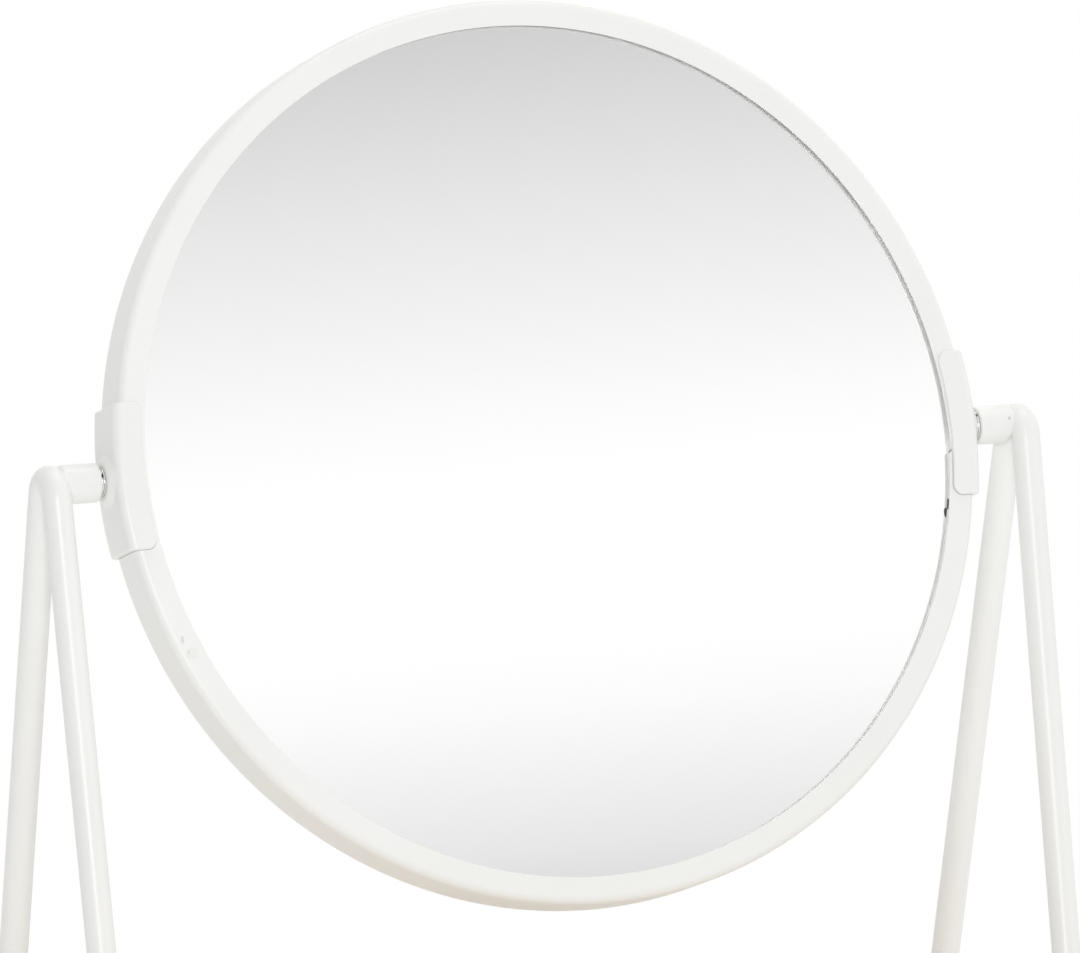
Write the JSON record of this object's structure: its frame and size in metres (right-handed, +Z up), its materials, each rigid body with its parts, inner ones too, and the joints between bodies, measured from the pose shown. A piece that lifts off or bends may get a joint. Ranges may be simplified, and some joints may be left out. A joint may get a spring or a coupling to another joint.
{
  "type": "tabletop mirror",
  "caption": "Two-sided round tabletop mirror in a white metal rim that turns on side pivots between A-shaped rod legs joined by cross rails.",
  "frame": {"origin": "on the table, under the middle of the stand", "axes": "+Z up, front of the mirror towards -Y, +X to the right seen from the front"},
  "size_m": [0.27, 0.1676, 0.426],
  "materials": {
    "white_paint": "semi-gloss powder coat",
    "white_clip": "satin moulded",
    "silvered_glass": "polished",
    "backing_film": "matte",
    "foam": "open foam",
    "bright_steel": "bright zinc",
    "plain_steel": "zinc plated",
    "bush_nylon": "natural nylon",
    "foot_rubber": "soft matte"
  },
  "bodies": {
    "stand": {"left_leg_frame": "white_paint", "right_leg_frame": "white_paint", "left_pivot_sleeve": "white_paint", "right_pivot_sleeve": "white_paint", "front_cross_rail": "white_paint", "rear_cross_rail": "white_paint", "rail_lock_screws": "plain_steel", "front_left_foot": "foot_rubber", "front_right_foot": "foot_rubber", "rear_left_foot": "foot_rubber", "rear_right_foot": "foot_rubber", "left_pivot_screw": "plain_steel", "right_pivot_screw": "plain_steel", "left_friction_washer": "bright_steel", "right_friction_washer": "bright_steel", "left_spring_washer": "plain_steel", "right_spring_washer": "plain_steel"},
    "mirror_head": {"rim_band": "white_paint", "front_glass": "silvered_glass", "rear_glass": "silvered_glass", "front_safety_film": "backing_film", "rear_safety_film": "backing_film", "foam_spacer_ring": "foam", "left_pivot_clip": "white_clip", "right_pivot_clip": "white_clip", "left_backing_plate": "plain_steel", "right_backing_plate": "plain_steel", "left_pivot_bush": "bush_nylon", "right_pivot_bush": "bush_nylon", "rim_plate_screws": "plain_steel"}
  },
  "joints": [
    {"name": "mirror_tilt", "type": "hinge", "parent": "stand", "child": "mirror_head", "pos_m": [0, 0, 0.315], "axis": [1, 0, 0], "continuous": true}
  ]
}
